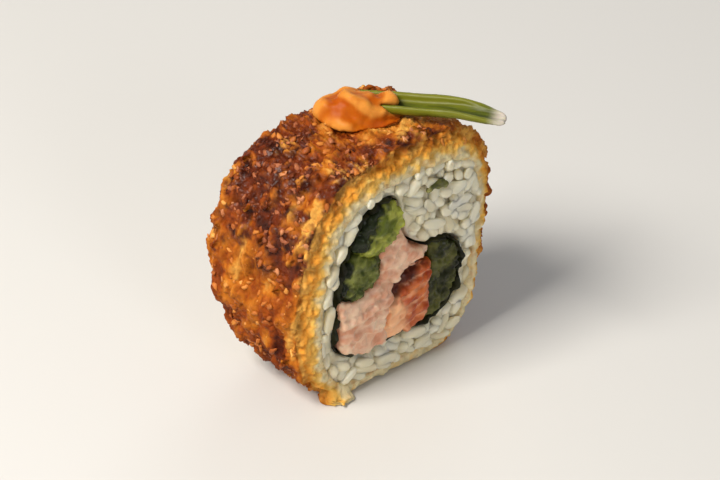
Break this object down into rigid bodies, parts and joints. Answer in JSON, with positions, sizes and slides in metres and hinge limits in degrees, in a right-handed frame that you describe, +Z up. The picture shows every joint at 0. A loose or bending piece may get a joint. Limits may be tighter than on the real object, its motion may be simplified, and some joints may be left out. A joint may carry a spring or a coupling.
{
  "type": "piece of sushi roll",
  "caption": "One upright slice of a deep-fried sushi roll: craggy golden coat, rice, nori and mixed filling, with a dollop of spicy mayonnaise and spring onion on top.",
  "frame": {"origin": "on the surface the slice stands on, under the middle of its box", "axes": "+Z up, -Y out of the cut face that shows, +X to the right as that face is seen"},
  "size_m": [0.0466, 0.0308, 0.051],
  "materials": {
    "fried_coat": "crisp, craggy, slightly oily",
    "rice": "moist, slightly glossy",
    "nori": "moist, dark, fibrous",
    "cucumber": "wet, translucent",
    "salmon": "moist, flaky",
    "prawn": "moist, glossy",
    "spicy_mayo": "creamy, glossy",
    "spring_onion": "smooth, wet"
  },
  "bodies": {
    "root": {"fried_coat": "fried_coat", "rice": "rice", "nori": "nori", "cucumber_upper": "cucumber", "cucumber_lower": "cucumber", "cucumber_side": "cucumber", "salmon_large": "salmon", "salmon_small": "salmon", "prawn": "prawn", "spicy_mayo": "spicy_mayo", "spring_onion": "spring_onion"}
  },
  "joints": []
}
